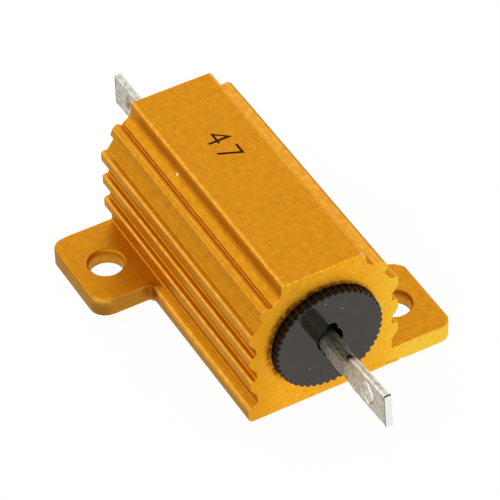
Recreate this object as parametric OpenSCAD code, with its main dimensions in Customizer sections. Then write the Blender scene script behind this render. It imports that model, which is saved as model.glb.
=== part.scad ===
// Aluminium housed resistor: a finned extrusion with two diagonal feet, closed at both
// ends by black knurled plugs, with a wound ceramic core inside and a flattened solder
// tab at each end. Millimetres, +X along the body, +Z up, base on Z = 0.

/* [Housing] */
// Length of the extrusion along the body
body_l = 28.5; // [24:0.1:60]
// Height of the extrusion
body_h = 15.35; // [15:0.05:18]
// Width across the sides of the base slab
base_w = 16; // [15.2:0.1:18]
// Diameter of the bore that takes the wound core
bore_d = 11; // [9:0.1:11.4]
// How far the bore axis lies below the middle of the height
bore_drop = 0.175; // [0:0.025:0.5]

/* [Top and shoulders] */
// Width of the raised flat on top
top_w = 8.5; // [7.6:0.1:9]
// Height of the step at each side of the flat
step_h = 1.45; // [1.2:0.05:1.7]
// How far the step leans out on its way down
step_lean = 0.15; // [0:0.05:0.3]
// Width of the sloping ledge at the foot of the step
ledge_w = 0.8; // [0.6:0.05:1]
// Fall of that ledge
ledge_drop = 0.57; // [0.4:0.01:0.7]
// Width of the drop from the ledge into the notch beside the shoulder fin
notch_w = 0.14; // [0.1:0.01:0.2]
// Depth of that drop
notch_drop = 0.3; // [0.2:0.01:0.4]
// Width of the rise from the notch to the shoulder fin
lip_w = 0.61; // [0.5:0.01:0.7]
// Height of that rise
lip_h = 0.39; // [0.3:0.01:0.45]
// Width of the shoulder fin
rim_w = 0.66; // [0.6:0.01:0.8]
// Fall of the shoulder fin to its outer edge
rim_drop = 1.02; // [0.9:0.01:1.2]
// Depth of the undercut below the shoulder fin
undercut = 0.39; // [0.2:0.01:0.45]
// Height of the undercut
undercut_h = 0.5; // [0.3:0.05:0.6]

/* [Side fins] */
// Height of the lowest fin's top above the feet
fin_first = 3.15; // [2.9:0.05:3.2]
// Distance from one fin to the next
fin_pitch = 2.88; // [2.8:0.02:2.92]
// Least height from the top fin up to the undercut
fin_clear = 0.8; // [0.5:0.05:1]
// Depth of the grooves between the fins
fin_depth = 0.67; // [0.45:0.01:0.8]
// Height of the upright face of a fin
fin_face = 1.1; // [0.8:0.05:1.15]
// Height of the slope under that face
fin_slope = 0.9; // [0.6:0.05:1]
// Distance from the side of the base slab in to the fin faces
fin_inset = 0.32; // [0:0.01:0.5]

/* [Feet] */
// Width across both feet
foot_span = 27.4; // [25:0.1:36]
// Thickness of the feet and the base slab
foot_t = 1.9; // [1.8:0.05:2.4]
// Length of a foot along the body
foot_l = 9.85; // [8:0.05:13]
// Radius of a foot's corner at the end of the body
foot_end_r = 1.35; // [0.4:0.05:1.8]
// Radius of a foot's corner towards the middle of the body
foot_mid_r = 1.7; // [0.5:0.1:2.2]
// Radius of the inside corner where a foot meets the base slab
foot_root_r = 0.4; // [0.3:0.1:1.2]
// Distance from the end of the body to the centre of a foot hole
hole_end = 5.05; // [4:0.05:6]
// Distance from the outer edge of a foot to the centre of its hole
hole_edge = 3.45; // [3:0.05:3.8]
// Diameter of the foot holes
hole_d = 3.4; // [2:0.1:3.6]
// Broken edge at both ends of a foot hole
hole_break = 0.2; // [0.05:0.01:0.3]

/* [End caps] */
// How far a cap stands out of the bore
cap_proud = 1; // [0.5:0.1:2]
// Length of the part of a cap that sits in the bore
plug_l = 2.5; // [1.5:0.1:4]
// Number of ridges round the rim of a cap
knurl_n = 48; // [24:1:60]
// Radius of the grooves between those ridges
knurl_r = 0.2; // [0.1:0.01:0.22]
// Angle at which a cap sits in the bore
cap_turn = 7; // [-90:0.5:90]
// Clearance round a cap in the bore
cap_gap = 0.05; // [0.01:0.01:0.1]
// Clearance round the rod in a cap
rod_gap = 0.3; // [0.1:0.05:0.5]
// Clearance round the tab as it goes through the slot in a cap
tab_gap = 0.22; // [0.1:0.02:0.4]

/* [Terminals] */
// How far a terminal stands out of its cap
terminal_out = 10.5; // [8.5:0.05:30]
// Diameter of the terminal rod
rod_d = 2; // [1.6:0.1:2.2]
// Length of the flattened tab, with the step to the rod
tab_l = 7.6; // [5.8:0.1:8]
// Thickness of the flattened tab
tab_t = 0.7; // [0.5:0.05:1]
// Height of the tab where it is widest, next to the rod
tab_root_h = 3.4; // [3.2:0.05:3.8]
// Height of the tab at its cut end
tab_end_h = 3.3; // [2.8:0.05:3.6]
// Diameter of the eyelet in the tab
eyelet_d = 2.2; // [1.4:0.1:2.4]
// Distance from the cut end of the tab to the centre of the eyelet
eyelet_in = 3.25; // [2:0.05:3.6]
// How far the eyelet lies below the middle of the tab
eyelet_drop = 0.05; // [0:0.05:0.4]

/* [Wound core] */
// Distance from a cap to the end of the ceramic core
core_in = 2.75; // [1.5:0.05:4]
// Diameter of the ceramic core
core_d = 5.5; // [4:0.1:6.4]
// Wall of the cups pressed on the core ends
cup_t = 0.4; // [0.3:0.05:0.6]
// Depth of those cups over the core
cup_l = 3; // [2:0.1:4]
// Diameter of the resistance wire
wire_d = 0.35; // [0.2:0.01:0.4]
// Distance from one turn of wire to the next
turn_pitch = 0.54; // [0.45:0.01:1.2]
// Clearance between pieces pressed or moulded together
fit_gap = 0.02; // [0.01:0.01:0.05]

/* [Hidden] */

FINE = 96;
COARSE = 24;
ARC_STEPS = 5;
TURN_STEPS = 5;
OVER = 1;

// Radii of corners, from the crispest to the softest
crisp_r = 0.12;
groove_r = 0.18;
rim_r = 0.2;
edge_r = 0.25;
slab_r = 0.3;
soft_r = 0.35;
base_r = 0.45;
step_r = 0.9;

// Radii of a fin's nose and of its root, which share the depth of the groove
nose_r = min(edge_r, fin_depth / 2);
root_r = min(groove_r, fin_depth / 2);

// Where the shoulder fin turns down, as shares of its width and its fall
brow_out = 0.6;
brow_down = 0.35;

// How far the slab of a foot reaches into the base of the extrusion
foot_bite = 1.5;

// Terminal: lengths of the pressed step and of the flare behind it, depth by which the
// pressed rod lies under the tab's faces, and radii of the flare's two bends
press_l = 1.1;
flare_l = 1.8;
sunk = 0.1;
neck_r = 0.8;
cheek_r = 1;

// Height of the valley between two turns of wire, as a share of the wire
valley = 0.55;

base_half = base_w / 2;
crest = base_half - fin_inset;
root = crest - fin_depth;
bore_z = body_h / 2 - bore_drop;
cap_d = bore_d - 2 * cap_gap;
cap_face = body_l / 2 + cap_proud;
cap_back = body_l / 2 - plug_l;
core_r = core_d / 2;
core_half = cap_back - core_in;
cup_r = core_r + fit_gap + cup_t;
cup_end = core_half + fit_gap + cup_t;
winding_half = core_half - cup_l - fit_gap;
rod_r = rod_d / 2;
tip = cap_face + terminal_out;

// Rounding: one corner [across, up, radius] of an outline as points on its arc
function unit(v) = v / norm(v);
function flat(corner) = [corner[0], corner[1]];
function arc(before, at, after) =
    let (
        p = flat(at),
        r = at[2],
        u = unit(flat(before) - p),
        v = unit(flat(after) - p),
        half = acos(u * v) / 2,
        middle = p + unit(u + v) * r / sin(half),
        start = p + u * r / tan(half) - middle,
        first = atan2(start[1], start[0]),
        turn = (2 * half - 180) * sign(cross(u, v))
    )
    [for (i = [0 : ARC_STEPS])
        let (a = first + turn * i / ARC_STEPS) middle + r * [cos(a), sin(a)]];
function rounded(corners) =
    let (n = len(corners))
    [for (i = [0 : n - 1]) each corners[i][2] == 0
        ? [flat(corners[i])]
        : arc(corners[(i + n - 1) % n], corners[i], corners[(i + 1) % n])];
function mirrored(corners) =
    concat(corners, [for (i = [len(corners) - 1 : -1 : 0]) [-corners[i][0], corners[i][1], corners[i][2]]]);

// Extrusion: half of its section as corners, from the top flat down to the base
step_foot = [top_w / 2 + step_lean, body_h - step_h];
ledge = step_foot + [ledge_w, -ledge_drop];
notch = ledge + [notch_w, -notch_drop];
lip = notch + [lip_w, lip_h];
rim = lip + [rim_w, -rim_drop];
recess = rim - [undercut, undercut_h];
shoulder = [
    [top_w / 2, body_h, soft_r],
    [step_foot[0], step_foot[1], step_r],
    [ledge[0], ledge[1], crisp_r],
    [notch[0], notch[1], crisp_r],
    [lip[0], lip[1], crisp_r],
    [lip[0] + brow_out * rim_w, lip[1] - brow_down * rim_drop, soft_r],
    [rim[0], rim[1], rim_r],
    [recess[0], recess[1], soft_r]
];
function fin(top) = [
    [root, top, root_r],
    [crest, top, nose_r],
    [crest, top - fin_face, soft_r],
    [root, top - fin_face - fin_slope, edge_r]
];
slab_side = [
    [root, foot_t, root_r],
    [base_half, foot_t, slab_r],
    [base_half, 0, base_r]
];
first_fin = foot_t + fin_first;
fin_n = 1 + floor((recess[1] - fin_clear - first_fin) / fin_pitch);
half_section = concat(
    shoulder,
    [for (i = [fin_n - 1 : -1 : 0]) each fin(first_fin + i * fin_pitch)],
    slab_side
);

// Placing: outlines drawn across the body and carried along it, or turned about its axis
module along_body(from, to)
    translate([from, 0, 0]) rotate([90, 0, 90]) linear_extrude(to - from) children();

module about_axis()
    translate([0, 0, bore_z]) rotate([0, 90, 0]) rotate_extrude($fn = FINE) children();

module at_rear()
    rotate([0, 0, 180]) children();

// Foot: a slab with a rounded outer edge, cut to its plan
module foot() {
    outer = foot_span / 2;
    inner = base_half - foot_bite;
    from = body_l / 2 - foot_l;
    slab = [[inner, 0, 0], [outer, 0, crisp_r], [outer, foot_t, edge_r], [inner, foot_t, 0]];
    plan = [
        [body_l / 2, inner, 0],
        [body_l / 2, outer, foot_end_r],
        [from, outer, foot_mid_r],
        [from, base_half, foot_root_r],
        [from - foot_root_r, base_half, 0],
        [from - foot_root_r, inner, 0]
    ];
    intersection() {
        along_body(from - 2 * foot_root_r, body_l / 2) polygon(rounded(slab));
        translate([0, 0, -OVER]) linear_extrude(foot_t + 2 * OVER) polygon(rounded(plan));
    }
}

module foot_hole() {
    flare = 2 * (hole_break + OVER);
    translate([body_l / 2 - hole_end, foot_span / 2 - hole_edge, 0]) {
        translate([0, 0, -OVER])
            cylinder(d = hole_d, h = foot_t + 2 * OVER, $fn = FINE);
        translate([0, 0, foot_t - hole_break])
            cylinder(d1 = hole_d, d2 = hole_d + flare, h = flare / 2, $fn = FINE);
        translate([0, 0, -OVER])
            cylinder(d1 = hole_d + flare, d2 = hole_d, h = flare / 2, $fn = FINE);
    }
}

module housing()
    color("goldenrod") difference() {
        union() {
            along_body(-body_l / 2, body_l / 2) polygon(rounded(mirrored(half_section)));
            foot();
            at_rear() foot();
        }
        translate([-body_l / 2 - OVER, 0, bore_z]) rotate([0, 90, 0])
            cylinder(d = bore_d, h = body_l + 2 * OVER, $fn = FINE);
        foot_hole();
        at_rear() foot_hole();
    }

// End cap: a knurled plug with a keyhole that the flattened tab goes through
module end_cap() {
    slot_w = tab_t + 2 * tab_gap;
    slot_h = max(tab_root_h, tab_end_h) + 2 * tab_gap;
    translate([0, 0, bore_z]) along_body(cap_back, cap_face) rotate(-cap_turn)
        difference() {
            circle(d = cap_d, $fn = 2 * FINE);
            for (i = [0 : knurl_n - 1]) rotate(i * 360 / knurl_n)
                translate([cap_d / 2, 0]) circle(r = knurl_r, $fn = COARSE);
            circle(d = rod_d + 2 * rod_gap, $fn = FINE);
            square([slot_w, slot_h - slot_w], center = true);
            for (side = [-1, 1]) translate([0, side * (slot_h - slot_w) / 2])
                circle(d = slot_w, $fn = FINE);
        }
}

module end_cap_front() color("dimgray") end_cap();
module end_cap_rear() color("dimgray") at_rear() end_cap();

// Terminal: a round rod that a press has flattened into a tab with an eyelet
module terminal() {
    step = tip - tab_l;
    upper = [
        [step - press_l / 2, rod_r / 2, 0],
        [step + press_l / 2, (rod_r + tab_root_h / 2) / 2, neck_r],
        [step + flare_l, tab_root_h / 2, cheek_r],
        [tip, tab_end_h / 2, edge_r]
    ];
    lower = [for (i = [len(upper) - 1 : -1 : 0]) [upper[i][0], -upper[i][1], upper[i][2]]];
    press = [
        [step, rod_r],
        [step + press_l, tab_t / 2 - sunk],
        [tip, tab_t / 2 - sunk],
        [tip, rod_r + OVER],
        [step - press_l / 2, rod_r + OVER]
    ];
    translate([0, 0, bore_z]) difference() {
        union() {
            difference() {
                translate([cup_end, 0, 0]) rotate([0, 90, 0])
                    cylinder(d = rod_d, h = step + press_l - cup_end, $fn = FINE);
                for (side = [0, 1]) mirror([0, side, 0])
                    translate([0, 0, -rod_d]) linear_extrude(2 * rod_d) polygon(press);
            }
            translate([0, tab_t / 2, 0]) rotate([90, 0, 0])
                linear_extrude(tab_t) polygon(rounded(concat(upper, lower)));
        }
        translate([tip - eyelet_in, 0, -eyelet_drop]) rotate([90, 0, 0])
            cylinder(d = eyelet_d, h = tab_t + 2 * OVER, center = true, $fn = FINE);
    }
}

module terminal_front() color("silver") terminal();
module terminal_rear() color("silver") at_rear() terminal();

// Ferrule: the cup on a core end, with the rod welded to its floor
module ferrule()
    about_axis() polygon([
        [0, core_half + fit_gap],
        [core_r + fit_gap, core_half + fit_gap],
        [core_r + fit_gap, core_half - cup_l],
        [cup_r, core_half - cup_l],
        [cup_r, cup_end],
        [0, cup_end]
    ]);

module ferrule_front() color("lightsteelblue") ferrule();
module ferrule_rear() color("lightsteelblue") at_rear() ferrule();

module ceramic_core()
    color("ivory") about_axis() translate([0, -core_half]) square([core_r, 2 * core_half]);

// Winding: close turns of wire between the cups, drawn as one ridged sleeve
module resistance_winding() {
    inner = core_r + fit_gap;
    turn_n = floor(2 * winding_half / turn_pitch);
    pitch = 2 * winding_half / turn_n;
    turn = [for (k = [0 : TURN_STEPS])
        [wire_d * (valley + (1 - valley) * sin(180 * k / TURN_STEPS)),
         pitch * (k + 0.5) / (TURN_STEPS + 1)]];
    ridges = [for (i = [0 : turn_n - 1], p = turn) [inner + p[0], winding_half - pitch * i - p[1]]];
    color("peru") about_axis()
        polygon(concat([[inner, -winding_half], [inner, winding_half]], ridges));
}

module insulating_filling() {
    outer = bore_d / 2 - fit_gap;
    inner = max(cup_r, core_r + fit_gap + wire_d) + fit_gap;
    neck = rod_r + fit_gap;
    end = cap_back - fit_gap;
    step = cup_end + fit_gap;
    color("gainsboro") about_axis() polygon([
        [outer, -end], [outer, end], [neck, end], [neck, step],
        [inner, step], [inner, -step], [neck, -step], [neck, -end]
    ]);
}

housing();
end_cap_front();
end_cap_rear();
terminal_front();
terminal_rear();
ferrule_front();
ferrule_rear();
ceramic_core();
resistance_winding();
insulating_filling();
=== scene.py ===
"""Looks of an aluminium housed resistor: gold anodised extrusion, black caps, tinned tabs."""

import math

import bmesh
import bpy
from bpy.props import FloatProperty, FloatVectorProperty, PointerProperty, StringProperty
from bpy.types import Operator, Panel, PropertyGroup
from mathutils import Matrix, Vector, noise


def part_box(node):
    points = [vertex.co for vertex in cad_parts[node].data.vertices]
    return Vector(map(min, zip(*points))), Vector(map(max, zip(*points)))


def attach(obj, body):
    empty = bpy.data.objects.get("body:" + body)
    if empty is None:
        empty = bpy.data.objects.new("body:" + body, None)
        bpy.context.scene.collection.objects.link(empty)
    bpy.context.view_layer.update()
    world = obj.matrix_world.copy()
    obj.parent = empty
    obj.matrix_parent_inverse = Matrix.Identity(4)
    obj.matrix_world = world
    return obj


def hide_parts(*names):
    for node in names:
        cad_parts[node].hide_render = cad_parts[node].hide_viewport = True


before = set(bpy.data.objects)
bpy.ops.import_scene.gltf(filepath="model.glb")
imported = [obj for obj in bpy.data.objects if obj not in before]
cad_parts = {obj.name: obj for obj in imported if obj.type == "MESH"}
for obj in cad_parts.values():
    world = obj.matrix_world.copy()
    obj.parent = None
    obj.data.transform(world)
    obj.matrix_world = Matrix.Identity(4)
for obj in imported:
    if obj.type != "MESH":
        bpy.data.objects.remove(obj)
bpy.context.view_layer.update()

bl_info = {
    "name": "Housed resistor",
    "version": (1, 0, 0),
    "blender": (4, 5, 0),
    "location": "View3D > Sidebar > Resistor",
    "description": "Dresses an aluminium housed resistor with its finishes, marks and stage",
    "category": "Object",
}

MM = 0.001


def mm(*parts):
    """A place or an offset in metres, given in millimetres."""
    return Vector([part * MM for part in parts])


# Limits of the mesh work
MERGE = 0.004 * MM
SLIVER = 0.001 * MM
FLAT_ANGLE = math.radians(0.5)
SHARP_ANGLE = math.radians(60)
SMOOTH_ANGLE = math.radians(50)
ROUND_FROM = math.radians(3)
ROUND_TO = math.radians(45)
BURR_SEED = 1

# Places on the solids, in the shared frame
HOUSING_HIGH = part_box("housing")[1]
BODY_END = HOUSING_HIGH.x
BODY_TOP = HOUSING_HIGH.z
HOLES = (mm(9.2, 10.25), mm(-9.2, -10.25))
CAP_LOW, CAP_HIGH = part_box("end_cap_front")
CAP_FACE = CAP_HIGH.x
CAP_RADIUS = (CAP_HIGH.z - CAP_LOW.z) / 2
AXIS_UP = (CAP_HIGH.z + CAP_LOW.z) / 2
TERMINAL_LOW, TERMINAL_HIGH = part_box("terminal_front")
WELD = TERMINAL_LOW.x
TIP = TERMINAL_HIGH.x
EYELET = mm(22.5, 7.45)


def length(name, description, default):
    """A size property, in metres."""
    return FloatProperty(name=name, description=description, default=default, unit="LENGTH")


def place(name, description, default):
    """A place or an offset property, in metres."""
    return FloatVectorProperty(
        name=name, description=description, default=tuple(default), subtype="TRANSLATION", unit="LENGTH",
    )


def turn(name, description, degrees):
    """An angle property."""
    return FloatProperty(
        name=name, description=description, default=math.radians(degrees), subtype="ANGLE",
    )


def colour(name, description, default):
    """A colour property, scene linear."""
    return FloatVectorProperty(
        name=name, description=description, default=default, subtype="COLOR", size=3, min=0, max=1,
    )


class HousingLook(PropertyGroup):
    """Edges and finishes of the extrusion."""

    edge_break: length("Edge break", "Width of the broken edges of the sawn ends and the feet", 0.04 * MM)
    foot_roll: length("Foot roll", "Width of the rolled upper edges of the feet", 0.16 * MM)
    burr: length("Burr", "How far the broken edges wander", 0.04 * MM)
    burr_grain: length("Burr grain", "Length of one wander along an edge", 0.45 * MM)
    foot_top: length("Foot top", "Height below which the upright walls were cut", 1.9 * MM)
    gold: colour("Gold", "Anodised gold of the extruded faces", (0.61, 0.247, 0.006))
    gold_deep: colour("Deep gold", "Darker grain in that gold", (0.515, 0.2, 0.004))
    gold_edge: colour("Edge tint", "Gold at a glancing angle", (1, 0.9, 0.6))
    sawn: colour("Sawn gold", "Gold of the sawn ends", (0.98, 0.435, 0.014))
    sawn_pale: colour("Pale sawn gold", "Pale patches on the sawn ends", (1, 0.54, 0.027))
    # Painted light across the sawn ends: lighter towards the right, darker at the left edge
    sawn_lit_right: colour("Right sawn gold", "Brighter right half of the sawn ends", (1, 0.66, 0.052))
    sawn_shaded_left: colour("Left sawn gold", "Deeper left edge of the sawn ends", (0.82, 0.36, 0.012))
    cut: colour("Cut wall", "Walls where the flange was cut away", (0.44, 0.195, 0.02))
    cut_grey: colour("Grey cut wall", "Thin finish on those walls", (0.42, 0.215, 0.045))
    # Pale gold of the marked edges: partly real wear, partly painted highlight
    worn: colour("Worn edge", "Pale gold where the edges are rubbed", (0.8, 0.385, 0.04))
    crumb: colour("Crumb", "Chip at the front and crumb on the left step", (0.9, 0.75, 0.5))
    # Painted shade in the inner corner of the left foot
    inner_corner_shade: colour("Grime", "Dirt in the inner corner of the left foot", (0.36, 0.105, 0.005))
    # Darker gold low on the outer corner of the left foot
    outer_corner_darkening: colour("Soil", "Dirt on the outer corner of the left foot", (0.2, 0.075, 0.01))
    # Painted shade round the caps, with a brown smudge
    shade_and_smudge: colour("Smudge", "Brown smudge round the caps", (0.36, 0.085, 0.003))


class CapLook(PropertyGroup):
    """Edges and finishes of the end caps."""

    edge_break: length("Edge break", "Width of the broken edge round a cap's face", 0.09 * MM)
    black: colour("Black", "Moulded black of the face", (0.011, 0.009, 0.0075))
    worn: colour("Worn black", "Duller clouds on that black", (0.019, 0.014, 0.0125))
    # The rim's darker black is painted shade
    rim: colour("Rim", "Black of the knurled rim", (0.004, 0.003, 0.0025))
    sheen: colour("Sheen", "Tint of the gloss", (1, 0.92, 0.84))
    dust: colour("Dust", "Specks on the face", (0.6, 0.56, 0.5))


class TerminalLook(PropertyGroup):
    """Shapes and finishes of the terminals."""

    edge_break: length("Edge break", "Width of the broken edges of the tab", 0.05 * MM)
    edge_roll: length("Edge roll", "Width of the rolled long edges of the tab", 0.18 * MM)
    flare: length("Flare", "How much deeper a tab is at its tip", 0.35 * MM)
    tab_from: length("Tab start", "Where the bright tab starts, along the body", 18.3 * MM)
    bend_length: length("Bend length", "Length over which a tab bends", 0.8 * MM)
    front_lean: place("Front lean", "Front rod outside its cap, off its axis", mm(0.15, -0.24, -0.12))
    rear_lean: place("Rear lean", "Rear rod outside its cap, off its axis", mm(0.5, -0.25, -0.2))
    front_tilt: turn("Front tilt", "Upward bend of the front tab", 5.4)
    rear_tilt: turn("Rear tilt", "Upward bend of the rear tab", 0)
    tin: colour("Tin", "Tin plating of the tabs", (0.59, 0.57, 0.485))
    tin_dull: colour("Dull tin", "Dull patches in the plating", (0.45, 0.43, 0.345))
    rod: colour("Rod", "Tarnished rod", (0.34, 0.31, 0.25))
    rod_dark: colour("Dark rod", "Dark specks on the rod", (0.19, 0.17, 0.13))
    # Painted shade in the dent where the front tab starts and in a thin band along the tips
    step: colour("Step", "Dirt where the front tab starts and along the tips", (0.08, 0.065, 0.04))
    # Painted highlight on the rolled upper edges of the tabs and in the eyelets
    rubbed_and_lit: colour("Rubbed edge", "Bright long edges of the tabs", (0.92, 0.86, 0.78))
    shorn: colour("Shorn end", "Bare metal at the cut ends", (0.93, 0.93, 0.92))


class MarkLook(PropertyGroup):
    """Printed mark on the top flat."""

    figures: StringProperty(name="Figures", description="Plain number on the top flat", default="47")
    height: length("Height", "Height of the figures", 2.5 * MM)
    along: length("Along", "Centre of the mark along the body", -4.7 * MM)
    across: length("Across", "Centre of the mark across the body", 0.2 * MM)
    ink: colour("Ink", "Brown black ink", (0.05, 0.014, 0.003))


class StageLook(PropertyGroup):
    """Floor, light and camera."""

    floor: colour("Floor", "Plain pale floor", (0.86, 0.86, 0.86))
    floor_side: length("Floor side", "Length of a side of the floor", 4.0)
    ambient: FloatProperty(name="Ambient", description="Light from all round", default=0.5)
    azimuth: turn("Azimuth", "Camera's direction round the object", 62.081)
    elevation: turn("Elevation", "Camera's height above the horizon", 43.659)
    roll: turn("Roll", "Camera's turn about its own axis", 1.84)
    distance: length("Distance", "From the camera to its aim", 335.475 * MM)
    lens: FloatProperty(name="Lens", description="Focal length in millimetres", default=260.9)
    aim: place("Aim", "Point in the middle of the picture", mm(0.091, 0.172, 6.051))


class Recipe:
    """One material's nodes, added and joined by short calls."""

    def __init__(self, name):
        self.material = bpy.data.materials.new(name)
        self.material.use_nodes = True
        self.tree = self.material.node_tree
        self.surface = self.tree.nodes["Principled BSDF"]
        self.place = self.node("TexCoord", {})["Object"]

    def set(self, socket, value):
        """Joins a socket to another one, or gives it a constant."""
        if isinstance(value, bpy.types.NodeSocket):
            self.tree.links.new(value, socket)
        elif socket.type == "RGBA":
            socket.default_value = (*value, 1)
        else:
            socket.default_value = value

    def node(self, kind, sockets, **settings):
        """Adds a node and returns its outputs."""
        made = self.tree.nodes.new("ShaderNode" + kind)
        for key, value in settings.items():
            setattr(made, key, value)
        for key, value in sockets.items():
            self.set(made.inputs[key], value)
        return made.outputs

    def finish(self, **sockets):
        """Sets the shader's own sockets, named with underscores, and returns the material."""
        for key, value in sockets.items():
            self.set(self.surface.inputs[key.replace("_", " ").title().replace("Ior", "IOR")], value)
        return self.material

    def noise(self, grain, stretch=(1, 1, 1), detail=2):
        """Noise of a grain in metres, longer along an axis where stretch is above 1."""
        scale = [1 / (grain * longer) for longer in stretch]
        scaled = self.node("Mapping", {"Vector": self.place, "Scale": scale})["Vector"]
        return self.node("TexNoise", {"Vector": scaled, "Scale": 1, "Detail": detail})["Fac"]

    def level(self, value, low, high, to_low=0, to_high=1):
        """A value moved smoothly from one range to another."""
        sockets = {
            "Value": value, "From Min": low, "From Max": high, "To Min": to_low, "To Max": to_high,
        }
        return self.node("MapRange", sockets, interpolation_type="SMOOTHSTEP")["Result"]

    def math(self, operation, first, second=0, third=0):
        """A sum on one to three values."""
        return self.node("Math", {0: first, 1: second, 2: third}, operation=operation)["Value"]

    def mix(self, share, first, second):
        """Two colours mixed by a share."""
        sockets = {"Fac": share, "Color1": first, "Color2": second}
        return self.node("MixRGB", sockets)["Color"]

    def bump(self, height, depth, strength=1, below=None):
        """A bumped normal, on top of another one."""
        sockets = {"Height": height, "Distance": depth, "Strength": strength}
        if below:
            sockets["Normal"] = below
        return self.node("Bump", sockets)["Normal"]

    def spot(self, middle, inner, outer):
        """A share that falls from 1 to 0 round a place."""
        away = self.node("VectorMath", {0: self.place, 1: middle}, operation="DISTANCE")["Value"]
        return self.level(away, inner, outer, 1, 0)

    def rim_shade(self, right, up, radius, fade, most=1.4):
        """A share that falls to 0 beyond a circle about the bore, moved off its axis."""
        section = self.node("VectorMath", {0: self.place, 1: (0, 1, 1)}, operation="MULTIPLY")["Vector"]
        middle = (0, right, AXIS_UP + up)
        away = self.node("VectorMath", {0: section, 1: middle}, operation="DISTANCE")["Value"]
        return self.level(away, radius, radius + fade, most, 0)

    def along(self):
        """Distance from the middle of the body, along it."""
        return self.math("ABSOLUTE", self.node("SeparateXYZ", {"Vector": self.place})["X"])

    def across(self):
        """Distance to the right of the middle of the body."""
        return self.node("SeparateXYZ", {"Vector": self.place})["Y"]

    def attribute(self, name):
        """A number kept on the mesh."""
        return self.node("Attribute", {}, attribute_name=name)["Fac"]


def gold_anodised(look):
    """Satin gold with a fine grain, paler where it was sawn and browner where it was cut."""
    recipe = Recipe("gold_anodised")
    grain = recipe.noise(0.13 * MM, detail=4)
    mottle = recipe.noise(0.7 * MM, detail=3)
    streaks = recipe.noise(0.09 * MM, stretch=(12, 1, 1), detail=3)
    ragged = recipe.noise(0.35 * MM, detail=3)
    patches = recipe.noise(0.45 * MM, detail=5)
    blotches = recipe.noise(0.55 * MM, detail=4)

    tone = recipe.math("MULTIPLY_ADD", grain, 0.4, recipe.math("MULTIPLY", mottle, 0.35))
    tone = recipe.math("MULTIPLY_ADD", streaks, 0.25, tone)
    extruded = recipe.mix(recipe.level(tone, 0.36, 0.62), look.gold_deep, look.gold)
    reach = recipe.math("MULTIPLY_ADD", ragged, 0.18 * MM, recipe.along())
    end = recipe.level(reach, BODY_END, BODY_END + 0.08 * MM)
    sawn = recipe.math("MAXIMUM", end, recipe.attribute("sawn"))
    base = recipe.mix(sawn, extruded, sawn_gold(recipe, look, patches, ragged))
    cut = recipe.attribute("cut")
    cut_gold = recipe.mix(recipe.level(blotches, 0.4, 0.65), look.cut, look.cut_grey)
    base = recipe.mix(cut, base, cut_gold)
    # Pale gold on the marked edges, wear with a painted highlight, and a painted highlight on the left
    # foot's outer corner
    base = recipe.mix(rubbed_and_lit_share(recipe, look, mottle), base, look.worn)
    # Painted shade in the left foot's inner corner, darker gold on its outer corner, and pale chips
    base = dark_corners_and_chips(recipe, look, base, ragged)

    satin = recipe.level(tone, 0.36, 0.62, 0.52, 0.45)
    sawn_rough = recipe.math("MULTIPLY", sawn, 0.5)
    cut_rough = recipe.math("MULTIPLY", cut, 0.55)
    rough = recipe.math("MAXIMUM", sawn_rough, cut_rough)
    grained = recipe.bump(tone, 0.004 * MM)
    sawing = recipe.bump(patches, 0.008 * MM, strength=sawn, below=grained)
    return recipe.finish(
        base_color=base, metallic=1, roughness=recipe.math("MAXIMUM", satin, rough),
        specular_tint=look.gold_edge, normal=sawing,
        coat_weight=0.07, coat_roughness=0.35, coat_ior=1.5, coat_normal=sawing,
    )


def sawn_gold(recipe, look, patches, ragged):
    """Patchy gold of the sawn ends, with painted light brighter to the right and deeper to the left, and
    painted shade with a brown smudge round the caps.
    """
    gold = recipe.mix(recipe.level(patches, 0.35, 0.68), look.sawn, look.sawn_pale)
    # Painted light: lighter towards the right, darker at the left edge
    right = recipe.level(recipe.across(), 4 * MM, 9 * MM, 0, 0.9)
    gold = recipe.mix(right, gold, look.sawn_lit_right)
    left = recipe.level(recipe.across(), -7.5 * MM, -4 * MM, 0.9, 0)
    gold = recipe.mix(left, gold, look.sawn_shaded_left)
    # Painted shade round the caps, spreading furthest at their upper left, made ragged, with a brown
    # smudge
    shade = recipe.rim_shade(-0.4 * MM, 0.35 * MM, CAP_RADIUS - 0.1 * MM, 0.65 * MM)
    shade_and_smudged = recipe.math("MULTIPLY", shade, recipe.level(ragged, 0.25, 0.75))
    return recipe.mix(shade_and_smudged, gold, look.shade_and_smudge)


def rubbed_and_lit_share(recipe, look, mottle):
    """How pale the gold is: wear with a painted highlight on the marked facets, and a painted highlight
    round the outer corner of the left foot.
    """
    uneven = recipe.level(mottle, 0.3, 0.7, 0.45, 0.85)
    worn = recipe.math("MULTIPLY", recipe.attribute("worn"), uneven)
    # Painted highlight along the rolled outer corner of the left foot
    for along, across in ((-5.2, -13.35), (-4.85, -13.15), (-4.6, -12.9), (-4.4, -12.5)):
        corner = recipe.spot((along * MM, across * MM, look.foot_top), 0.05 * MM, 0.65 * MM)
        worn = recipe.math("MAXIMUM", worn, recipe.math("MULTIPLY", corner, 0.8))
    return worn


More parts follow.
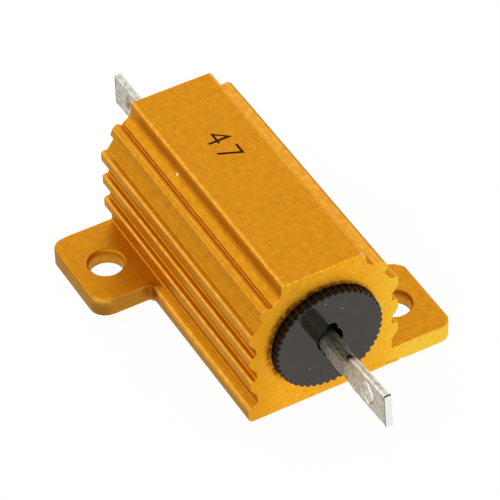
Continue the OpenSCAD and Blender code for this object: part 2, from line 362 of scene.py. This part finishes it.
def dark_corners_and_chips(recipe, look, base, ragged):
    """The gold with painted shade in the inner corner of the left foot, darker gold low on its outer
    corner, a chip at the front and a crumb on the left step.
    """
    # Painted shade in the inner corner of the left foot, where the foot meets the slab
    inner_corner = recipe.spot(mm(-4.1, -8, 1.2), 0.4 * MM, 1.3 * MM)
    base = recipe.mix(inner_corner, base, look.inner_corner_shade)
    # Darker gold low on the outer corner of the left foot, at half strength
    outer_corner = recipe.spot(mm(-4.9, -13.2, 0.5), 0.4 * MM, 1.4 * MM)
    base = recipe.mix(recipe.math("MULTIPLY", outer_corner, 0.5), base, look.outer_corner_darkening)
    chip = recipe.spot(mm(14.2, 4.1, 15.3), 0.1 * MM, 0.45 * MM)
    base = recipe.mix(recipe.math("MULTIPLY", chip, ragged), base, look.crumb)
    left_step = recipe.spot(mm(-4.8, -4.42, 13.86), 0.12 * MM, 0.25 * MM)
    return recipe.mix(left_step, base, look.crumb)


def cap_plastic(look):
    """Moulded black, glossy on its face and dull round its knurled rim, where a darker black is painted
    shade.
    """
    recipe = Recipe("cap_plastic")
    clouds = recipe.noise(1.2 * MM, detail=5)
    face = recipe.level(recipe.along(), CAP_FACE - 0.1 * MM, CAP_FACE - 0.05 * MM)
    base = recipe.mix(recipe.level(clouds, 0.45, 0.7), look.black, look.worn)
    # Painted shade: a darker black off the face, on the knurled rim
    base = recipe.mix(face, look.rim, base)
    for across, up in ((-0.46, 12.15), (1.24, 10.83), (-2.19, 4.87)):
        speck = recipe.spot((CAP_FACE, across * MM, up * MM), 0.05 * MM, 0.09 * MM)
        base = recipe.mix(speck, base, look.dust)
    rim_roughness = recipe.level(clouds, 0.35, 0.7, 0.25, 0.35)
    return recipe.finish(
        base_color=base,
        roughness=recipe.math("MULTIPLY_ADD", face, -0.2, rim_roughness),
        specular_ior_level=recipe.level(face, 0, 1, 0.22, 0.58),
        specular_tint=look.sheen,
        normal=recipe.bump(clouds, 0.002 * MM),
    )


def tinned_metal(look):
    """Tin plating with dull patches, tarnished on the rod and bare at the cut end, with painted
    highlights on the rolled upper edges and in the eyelets, and painted shade where the front tab starts
    and along the tips.
    """
    recipe = Recipe("tinned_metal")
    patches = recipe.noise(0.5 * MM, detail=5)
    specks = recipe.noise(0.16 * MM, detail=4)
    scratches = recipe.noise(0.06 * MM, stretch=(30, 1, 1), detail=3)
    reach = recipe.attribute("reach")

    base = recipe.mix(recipe.level(patches, 0.4, 0.62), look.tin, look.tin_dull)
    # Painted highlight on the marked rolled edges and eyelet walls
    uneven = recipe.level(patches, 0.35, 0.6, 0.9, 0.5)
    rubbed_and_lit = recipe.math("MULTIPLY", recipe.attribute("worn"), uneven)
    base = recipe.mix(rubbed_and_lit, base, look.rubbed_and_lit)
    tarnish = recipe.mix(recipe.level(specks, 0.4, 0.62), look.rod_dark, look.rod)
    stained = recipe.math("MULTIPLY_ADD", patches, 0.8 * MM, reach)
    tab = recipe.level(stained, look.tab_from + 0.9 * MM, look.tab_from + 1.3 * MM)
    base = recipe.mix(tab, tarnish, base)
    # Painted shade in the dent where the front tab starts
    step = recipe.spot(mm(19.25, -0.3, 8.75), 0.25 * MM, 0.6 * MM)
    base = recipe.mix(step, base, look.step)
    # Painted shade in a thin band along the tip
    tip = recipe.level(reach, TIP - 0.2 * MM, TIP - 0.1 * MM)
    base = recipe.mix(tip, base, look.step)
    end = recipe.level(reach, TIP - 0.05 * MM, TIP - 0.02 * MM)
    base = recipe.mix(end, base, look.shorn)
    return recipe.finish(
        base_color=base, metallic=1, roughness=recipe.level(patches, 0.35, 0.7, 0.42, 0.55),
        normal=recipe.bump(scratches, 0.003 * MM),
    )


def printed_ink(look):
    """Matt brown black ink, thin in places."""
    recipe = Recipe("printed_ink")
    thin = recipe.noise(0.2 * MM, detail=3)
    brown = [4 * part for part in look.ink]
    return recipe.finish(
        base_color=recipe.mix(recipe.level(thin, 0.5, 0.75), look.ink, brown), roughness=0.9,
        specular_ior_level=0,
    )


def plain_finish(name, light, dark, grain, stretch=(1, 1, 1), metallic=0, roughness=0.5):
    """A finish of the sealed inner pieces: two tones in a grain."""
    recipe = Recipe(name)
    tone = recipe.noise(grain, stretch=stretch, detail=4)
    return recipe.finish(
        base_color=recipe.mix(recipe.level(tone, 0.35, 0.65), light, dark),
        metallic=metallic, roughness=roughness, normal=recipe.bump(tone, grain / 10),
    )


def solid_of(node):
    """A bmesh of a CAD node, its triangles merged and its flat faces made whole."""
    bm = bmesh.new()
    bm.from_mesh(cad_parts[node].data)
    bmesh.ops.remove_doubles(bm, verts=bm.verts, dist=MERGE)
    bmesh.ops.dissolve_limit(bm, angle_limit=FLAT_ANGLE, verts=bm.verts, edges=bm.edges)
    bm.normal_update()
    return bm


def sharp_edges(bm):
    """Its edges that a file would break."""
    return [
        edge for edge in bm.edges
        if edge.is_manifold and edge.is_convex and edge.calc_face_angle() > SHARP_ANGLE
    ]


def divide(bm, edges, step):
    """Splits edges into lengths of about one step."""
    groups = {}
    for edge in edges:
        groups.setdefault(int(edge.calc_length() / step), []).append(edge)
    for cuts, members in groups.items():
        if cuts:
            bmesh.ops.bisect_edges(bm, edges=members, cuts=cuts)


def break_edges(bm, edges, width):
    """Rounds edges and returns the new corners and the new faces."""
    made = bmesh.ops.bevel(
        bm, geom=edges, offset=width, affect="EDGES", segments=2, profile=0.5, material=-1,
        clamp_overlap=False,
    )
    bm.normal_update()
    return made["verts"], made["faces"]


def add_piece(name, bm, material, slot, *nodes):
    """Makes an object of a bmesh, without slivers, and lets it stand for CAD nodes."""
    bmesh.ops.remove_doubles(bm, verts=bm.verts, dist=SLIVER)
    bmesh.ops.dissolve_degenerate(bm, dist=SLIVER, edges=bm.edges)
    mesh = bpy.data.meshes.new(name)
    bm.to_mesh(mesh)
    bm.free()
    if "custom_normal" in mesh.attributes:
        mesh.attributes.remove(mesh.attributes["custom_normal"])
    mesh.polygons.foreach_set("use_smooth", [True] * len(mesh.polygons))
    mesh.set_sharp_from_angle(angle=SMOOTH_ANGLE)
    mesh.materials.append(material)
    piece = bpy.data.objects.new(name, mesh)
    bpy.context.scene.collection.objects.link(piece)
    flats = piece.modifiers.new("flat_faces", "WEIGHTED_NORMAL")
    flats.keep_sharp = True
    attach(piece, "root")
    if nodes:
        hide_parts(*nodes)
    return piece


class RESISTOR_OT_housing(Operator):
    """Finned extrusion with broken edges, burrs and cut walls."""

    bl_idname = "resistor.housing"
    bl_label = "Housing"

    def execute(self, context):
        look = context.scene.resistor_housing
        roll_highlight_share = 0.5
        bm = solid_of("housing")
        self.narrow_notch(bm)
        self.slope_slab(bm, look)
        self.mark_worn_and_lit_edges(bm)
        worn = bm.faces.layers.float["worn"]
        # The rolled upper edges of the feet get half the pale gold as a painted highlight
        for face in break_edges(bm, self.foot_edges(bm, look), look.foot_roll)[1]:
            face[worn] = roll_highlight_share
        divide(bm, sharp_edges(bm), look.burr_grain / 3)
        corners, rims = break_edges(bm, sharp_edges(bm), look.edge_break)
        self.wander(corners, set(rims), look)
        self.dent(corners, mm(-4.35, -11.3, 1.9), mm(-0.2, 0, -0.15), 0.5 * MM)
        self.dent(corners, mm(-8.6, -13.7, 0), mm(0, 0.2, 0.1), 0.5 * MM)
        self.dent(corners, Vector((BODY_END, 8.06 * MM, 0)), mm(-0.06, 0, 0.08), 0.35 * MM)
        self.dent(corners, Vector((BODY_END, 4.2 * MM, BODY_TOP)), mm(-0.1, 0, -0.1), 0.3 * MM)
        self.mark_cut_walls(bm, look)
        add_piece("anodised_housing", bm, gold_anodised(look), "gold_anodised", "housing")
        return {"FINISHED"}

    def narrow_notch(self, bm):
        """Draws the left notch to a narrow groove with a wider lip, and fills the right one."""
        groove = mm(5.39, 13.1)
        groove_reach = 0.1 * MM
        fill_from, fill_to = 5.18 * MM, 5.6 * MM
        right_fill = 13.355 * MM
        lip_from, lip_to = 5.8 * MM, 5.92 * MM
        lip_gain = 0.17 * MM
        clear = 0.2 * MM
        for vert in bm.verts:
            across, up = abs(vert.co.y), vert.co.z
            side = math.copysign(1, vert.co.y)
            if side > 0 and fill_from < across < fill_to and up > groove.y - clear:
                vert.co.z = right_fill
            elif (Vector((across, up)) - groove).length < groove_reach:
                vert.co.y, vert.co.z = side * groove.x, groove.y
            elif lip_from < across < lip_to and up > groove.y + clear:
                vert.co.y -= side * lip_gain
        bmesh.ops.remove_doubles(bm, verts=bm.verts, dist=MERGE)
        bm.normal_update()

    def slope_slab(self, bm, look):
        """Slopes the top of the base slab outward, from a little way off each foot."""
        inner, outer = 7.19 * MM, 8 * MM
        cut_above, slope_above = 0.5 * MM, 1.5 * MM
        drop = 0.32 * MM
        root, clear = 4 * MM, 3.4 * MM
        for side in (-1, 1):
            for reach in (root, clear):
                parts = {}
                for face in bm.faces:
                    middle = face.calc_center_median()
                    if side * middle.y > inner and cut_above < middle.z < look.foot_top + MERGE:
                        parts.update(dict.fromkeys((face, *face.edges, *face.verts)))
                bmesh.ops.bisect_plane(
                    bm, geom=list(parts), dist=MERGE, plane_co=(side * reach, 0, 0), plane_no=(1, 0, 0),
                )
        for vert in bm.verts:
            across = abs(vert.co.y)
            on_top = slope_above < vert.co.z < look.foot_top + MERGE
            off_foot = math.copysign(1, vert.co.y) * vert.co.x < clear + MERGE
            if on_top and off_foot and inner < across < outer + MERGE:
                vert.co.z -= drop * (across - inner) / (outer - inner)
        bm.normal_update()

    def mark_worn_and_lit_edges(self, bm):
        """Marks the rounded outer edges, apart from the feet and the top's steps, and the right lip, for
        pale gold: wear with a painted highlight on the edges, painted light on the lip's band.
        """
        worn = bm.faces.layers.float.new("worn")
        foot_from = 13 * MM
        step_from = BODY_TOP - 0.5 * MM
        steep = 0.6
        right_lip = mm(5.6, 13.36)
        lip_reach = 0.45 * MM
        for face in bm.faces:
            middle = face.calc_center_median()
            foot = abs(middle.y) > foot_from
            step = middle.z > step_from and face.normal.z < steep
            # The right lip's band is marked for painted light
            lip = (middle.yz - right_lip).length < lip_reach
            face[worn] = float(self.is_facet(face) and not (foot or step) or lip)

    def is_facet(self, face):
        """Whether a face is one narrow facet of a rounded outer edge."""
        widest = 0.16 * MM
        sides = sorted(face.edges, key=lambda edge: edge.calc_length())[-2:]
        narrow = face.calc_area() < widest * sides[0].calc_length()
        return narrow and all(
            edge.is_manifold and edge.is_convex and ROUND_FROM < edge.calc_face_angle() < ROUND_TO
            for edge in sides
        )

    def foot_edges(self, bm, look):
        """The upper edges of the feet, off the holes and the sawn ends."""
        slab_side = 8.2 * MM
        hole_reach = 2.5 * MM
        return [
            edge for edge in sharp_edges(bm)
            if all(
                abs(vert.co.z - look.foot_top) < MERGE and abs(vert.co.y) > slab_side
                for vert in edge.verts
            )
            and not any((edge.verts[0].co.xy - hole).length < hole_reach for hole in HOLES)
            and min(abs(vert.co.x) for vert in edge.verts) < BODY_END - MERGE
        ]

    def wander(self, corners, rims, look):
        """Moves the corners of broken edges a little, within the faces beside them."""
        noise.seed_set(BURR_SEED)
        shifts = []
        for corner in corners:
            reach = min(look.burr, min(edge.calc_length() for edge in corner.link_edges) / 3)
            shift = noise.noise_vector(corner.co / look.burr_grain) * reach
            for face in corner.link_faces:
                if face not in rims:
                    shift -= shift.dot(face.normal) * face.normal
            shifts.append(shift)
        for corner, shift in zip(corners, shifts):
            corner.co += shift

    def dent(self, corners, middle, push, radius):
        """Pushes the corners near a place in, most at its middle."""
        for corner in corners:
            share = 1 - (corner.co - middle).length_squared / radius ** 2
            if share > 0:
                corner.co += share * push

    def mark_cut_walls(self, bm, look):
        """Marks the upright walls of the base: drilled, sawn at an outer corner of a foot, or cut."""
        cut = bm.faces.layers.float.new("cut")
        sawn = bm.faces.layers.float.new("sawn")
        worn = bm.faces.layers.float["worn"]
        slab_side = 7.9 * MM
        hole_reach = 2 * MM
        hole_wear = 0.5
        upright = 0.5
        outward = 0.3
        for face in bm.faces:
            middle = face.calc_center_median()
            low = middle.z < look.foot_top and abs(middle.y) > slab_side
            wall = low and abs(face.normal.z) < upright
            end = abs(middle.x) > BODY_END - look.edge_break
            drilled = any((middle.xy - hole).length < hole_reach for hole in HOLES)
            corner = face.normal.x * middle.x > outward * BODY_END
            face[sawn] = float(wall and corner and not drilled)
            if wall and drilled:
                face[worn] = hole_wear
            elif wall and not (end or corner):
                face[cut] = 1 - abs(face.normal.x) / 2


class RESISTOR_OT_end_caps(Operator):
    """Knurled caps at both ends."""

    bl_idname = "resistor.end_caps"
    bl_label = "End caps"

    def execute(self, context):
        look = context.scene.resistor_cap
        black = cap_plastic(look)
        for end in ("front", "rear"):
            node = "end_cap_" + end
            bm = solid_of(node)
            face = max(abs(vert.co.x) for vert in bm.verts) - MERGE
            rim = [
                edge for edge in sharp_edges(bm)
                if all(abs(vert.co.x) > face for vert in edge.verts)
            ]
            break_edges(bm, rim, look.edge_break)
            add_piece(end + "_cap", bm, black, "cap_plastic", node)
        return {"FINISHED"}


class RESISTOR_OT_terminals(Operator):
    """Tinned rods flattened to tabs."""

    bl_idname = "resistor.terminals"
    bl_label = "Terminals"

    def execute(self, context):
        look = context.scene.resistor_terminal
        tin = tinned_metal(look)
        # Painted highlight: the upper facets of the rolled long edges and the eyelet walls are marked for
        # the bright tin
        upper_highlight_share = {"front": 1, "rear": 0.3}
        eyelet_highlight_share = 0.4
        for end, highlight_share in upper_highlight_share.items():
            node = "terminal_" + end
            bm = solid_of(node)
            worn = bm.faces.layers.float.new("worn")
            for face in break_edges(bm, self.long_edges(bm, look), look.edge_roll)[1]:
                face[worn] = highlight_share * (face.normal.z > 0)
            for face in self.eyelet_walls(bm):
                face[worn] = eyelet_highlight_share
            break_edges(bm, sharp_edges(bm), look.edge_break)
            self.keep_reach(bm)
            self.bend(bm, look, getattr(look, end + "_lean"), getattr(look, end + "_tilt"))
            add_piece(end + "_terminal", bm, tin, "tinned_metal", node)
        return {"FINISHED"}

    def long_edges(self, bm, look):
        """The sharp edges that run along a tab."""
        straight = 0.9
        return [
            edge for edge in sharp_edges(bm)
            if all(abs(vert.co.x) > look.tab_from for vert in edge.verts)
            and abs(edge.verts[0].co.x - edge.verts[1].co.x) > straight * edge.calc_length()
        ]

    def eyelet_walls(self, bm):
        """The faces round the inside of an eyelet."""
        wall_reach = 1.2 * MM
        upright = 0.3
        walls = []
        for face in bm.faces:
            middle = face.calc_center_median()
            away = (Vector((abs(middle.x), middle.z)) - EYELET).length
            if abs(face.normal.y) < upright and away < wall_reach:
                walls.append(face)
        return walls

    def keep_reach(self, bm):
        """Keeps on each corner how far along the straight terminal it lies."""
        reach = bm.verts.layers.float.new("reach")
        for vert in bm.verts:
            vert[reach] = abs(vert.co.x)

    def bend(self, bm, look, lean, tilt):
        """Moves a rod off its axis, evenly from its weld to its cap, and flares and lifts its tab."""
        reach = bm.verts.layers.float["reach"]
        top = TERMINAL_HIGH.z
        for vert in bm.verts:
            past = max(vert[reach] - look.tab_from, 0)
            flare = look.flare * past / (TIP - look.tab_from)
            vert.co.z -= flare * (top - vert.co.z) / (top - TERMINAL_LOW.z)
            outward = math.copysign(1, vert.co.x)
            start = Vector((outward * look.tab_from, 0, AXIS_UP))
            lift = Matrix.Rotation(-outward * tilt * min(past / look.bend_length, 1), 3, "Y")
            vert.co = start + lift @ (vert.co - start)
            vert.co += lean * min((vert[reach] - WELD) / (CAP_FACE - WELD), 1)


class RESISTOR_OT_inner_pieces(Operator):
    """Finishes of the core, its cups, the winding and the filling."""

    bl_idname = "resistor.inner_pieces"
    bl_label = "Inner pieces"

    def execute(self, context):
        steel = plain_finish(
            "ferrule_steel", (0.55, 0.55, 0.55), (0.4, 0.4, 0.41), 0.2 * MM,
            stretch=(8, 1, 1), metallic=1, roughness=0.4,
        )
        wire = plain_finish(
            "resistance_wire", (0.42, 0.36, 0.3), (0.3, 0.25, 0.2), 0.15 * MM,
            stretch=(1, 4, 4), metallic=1, roughness=0.4,
        )
        ceramic = plain_finish("core_ceramic", (0.85, 0.82, 0.74), (0.74, 0.7, 0.62), 0.3 * MM)
        filling = plain_finish("filling_compound", (0.6, 0.59, 0.55), (0.48, 0.47, 0.44), 0.5 * MM)
        finishes = {
            "ferrule_front": steel, "ferrule_rear": steel, "resistance_winding": wire,
            "ceramic_core": ceramic, "insulating_filling": filling,
        }
        for node, material in finishes.items():
            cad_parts[node].material_slots[0].material = material
        return {"FINISHED"}


class RESISTOR_OT_mark(Operator):
    """Plain number printed on the top flat."""

    bl_idname = "resistor.mark"
    bl_label = "Mark"

    def execute(self, context):
        look = context.scene.resistor_mark
        size_per_height = 1.4
        thinner = 0.045 * MM
        film_depth = 0.012 * MM
        lettering = bpy.data.curves.new("figures", "FONT")
        lettering.body = look.figures
        lettering.size = look.height * size_per_height
        lettering.align_x = "CENTER"
        lettering.align_y = "CENTER"
        lettering.space_character = 1.3
        lettering.offset = -thinner
        source = bpy.data.objects.new("figures", lettering)
        context.scene.collection.objects.link(source)
        context.view_layer.update()
        bm = bmesh.new()
        bm.from_mesh(source.to_mesh())
        bpy.data.objects.remove(source)
        bmesh.ops.remove_doubles(bm, verts=bm.verts, dist=MERGE)
        film = bmesh.ops.extrude_face_region(bm, geom=bm.faces[:])["geom"]
        raised = [part for part in film if isinstance(part, bmesh.types.BMVert)]
        bmesh.ops.translate(bm, verts=raised, vec=(0, 0, film_depth))
        bmesh.ops.recalc_face_normals(bm, faces=bm.faces[:])
        to_top = Matrix.Translation((look.along, look.across, BODY_TOP))
        bmesh.ops.transform(bm, matrix=to_top, verts=bm.verts[:])
        add_piece("printed_mark", bm, printed_ink(look), "gold_anodised")
        return {"FINISHED"}


class RESISTOR_OT_stage(Operator):
    """Floor, soft light and camera."""

    bl_idname = "resistor.stage"
    bl_label = "Stage"

    def execute(self, context):
        look = context.scene.resistor_stage
        scene = context.scene
        scene.view_settings.view_transform = "Standard"
        self.floor(scene, look)
        self.surroundings(scene, look)
        self.softbox(scene, "rear_box", (-0.62, 0.5, 0.6), side=0.6, energy=0.65)
        self.softbox(scene, "left_box", (-0.64, -0.55, 0.53), side=0.5, energy=0.8)
        self.softbox(scene, "front_box", (0.35, -0.62, 0.7), side=0.4, energy=0.9)
        self.camera(scene, look)
        return {"FINISHED"}

    def seen(self, tree, straight, mirrored):
        """One share where a camera ray looks, another where a glossy or transmission ray does."""
        path = tree.nodes.new("ShaderNodeLightPath").outputs
        shares = {"Is Camera Ray": straight, "Is Glossy Ray": mirrored, "Is Transmission Ray": mirrored}
        total = None
        for kind, share in shares.items():
            part = tree.nodes.new("ShaderNodeMath")
            part.operation = "MULTIPLY_ADD"
            tree.links.new(path[kind], part.inputs[0])
            part.inputs[1].default_value = share
            part.inputs[2].default_value = 0
            if total:
                tree.links.new(total, part.inputs[2])
            total = part.outputs["Value"]
        return total

    def floor(self, scene, look):
        """A wide plain floor that looks white and keeps a soft shadow."""
        white = 1.04
        straight, mirrored = 0.92, 0.82
        bm = bmesh.new()
        bmesh.ops.create_grid(bm, x_segments=1, y_segments=1, size=look.floor_side / 2)
        mesh = bpy.data.meshes.new("floor")
        bm.to_mesh(mesh)
        bm.free()
        material = bpy.data.materials.new("floor")
        material.use_nodes = True
        tree = material.node_tree
        tree.nodes.clear()
        paint = tree.nodes.new("ShaderNodeBsdfDiffuse")
        paint.inputs["Color"].default_value = (*look.floor, 1)
        glow = tree.nodes.new("ShaderNodeEmission")
        glow.inputs["Strength"].default_value = white
        blend = tree.nodes.new("ShaderNodeMixShader")
        output = tree.nodes.new("ShaderNodeOutputMaterial")
        tree.links.new(self.seen(tree, straight, mirrored), blend.inputs[0])
        tree.links.new(paint.outputs["BSDF"], blend.inputs[1])
        tree.links.new(glow.outputs["Emission"], blend.inputs[2])
        tree.links.new(blend.outputs["Shader"], output.inputs["Surface"])
        mesh.materials.append(material)
        floor = bpy.data.objects.new("floor", mesh)
        scene.collection.objects.link(floor)

    def surroundings(self, scene, look):
        """White all round, at the ambient level where it only lights."""
        world = bpy.data.worlds.new("studio")
        world.use_nodes = True
        scene.world = world
        tree = world.node_tree
        light = tree.nodes["Background"]
        light.inputs["Color"].default_value = (1, 1, 1, 1)
        strength = tree.nodes.new("ShaderNodeMapRange")
        strength.inputs["To Min"].default_value = look.ambient
        strength.inputs["To Max"].default_value = 1
        tree.links.new(self.seen(tree, 1, 1), strength.inputs["Value"])
        tree.links.new(strength.outputs["Result"], light.inputs["Strength"])

    def softbox(self, scene, name, direction, side, energy, distance=0.9):
        """A square soft light that faces the object from a direction."""
        lamp = bpy.data.lights.new(name, "AREA")
        lamp.shape = "SQUARE"
        lamp.size = side
        lamp.energy = energy
        light = bpy.data.objects.new(name, lamp)
        light.location = Vector(direction).normalized() * distance
        light.rotation_euler = (-light.location).to_track_quat("-Z", "Y").to_euler()
        scene.collection.objects.link(light)

    def camera(self, scene, look):
        """The camera at the picture's viewing angle."""
        level = math.cos(look.elevation)
        back = Vector((
            math.sin(look.azimuth) * level, -math.cos(look.azimuth) * level, math.sin(look.elevation),
        ))
        upright = (-back).to_track_quat("-Z", "Y").to_matrix().to_4x4()
        rolled = upright @ Matrix.Rotation(-look.roll, 4, "Z")
        data = bpy.data.cameras.new("camera")
        data.lens = look.lens
        data.clip_start = look.distance / 10
        data.clip_end = look.floor_side
        camera = bpy.data.objects.new("camera", data)
        camera.matrix_world = Matrix.Translation(Vector(look.aim) + back * look.distance) @ rolled
        scene.collection.objects.link(camera)
        scene.camera = camera


class RESISTOR_PT_panel(Panel):
    """Lists the pieces and their sizes and colours."""

    bl_idname = "RESISTOR_PT_panel"
    bl_label = "Housed resistor"
    bl_space_type = "VIEW_3D"
    bl_region_type = "UI"
    bl_category = "Resistor"

    def draw(self, context):
        for name, look in LOOKS.items():
            box = self.layout.box()
            for prop in look.__annotations__:
                box.prop(getattr(context.scene, name), prop)
        for operator in OPERATORS:
            self.layout.operator(operator.bl_idname)


LOOKS = {
    "resistor_housing": HousingLook,
    "resistor_cap": CapLook,
    "resistor_terminal": TerminalLook,
    "resistor_mark": MarkLook,
    "resistor_stage": StageLook,
}
OPERATORS = (
    RESISTOR_OT_housing,
    RESISTOR_OT_end_caps,
    RESISTOR_OT_terminals,
    RESISTOR_OT_inner_pieces,
    RESISTOR_OT_mark,
    RESISTOR_OT_stage,
)


def register():
    for kind in (*LOOKS.values(), *OPERATORS, RESISTOR_PT_panel):
        bpy.utils.register_class(kind)
    for name, look in LOOKS.items():
        setattr(bpy.types.Scene, name, PointerProperty(type=look))


def unregister():
    for name in LOOKS:
        delattr(bpy.types.Scene, name)
    for kind in (RESISTOR_PT_panel, *reversed(OPERATORS), *reversed(LOOKS.values())):
        bpy.utils.unregister_class(kind)


def main():
    register()
    bpy.ops.resistor.housing()
    bpy.ops.resistor.end_caps()
    bpy.ops.resistor.terminals()
    bpy.ops.resistor.inner_pieces()
    bpy.ops.resistor.mark()
    bpy.ops.resistor.stage()


if __name__ == "__main__":
    main()
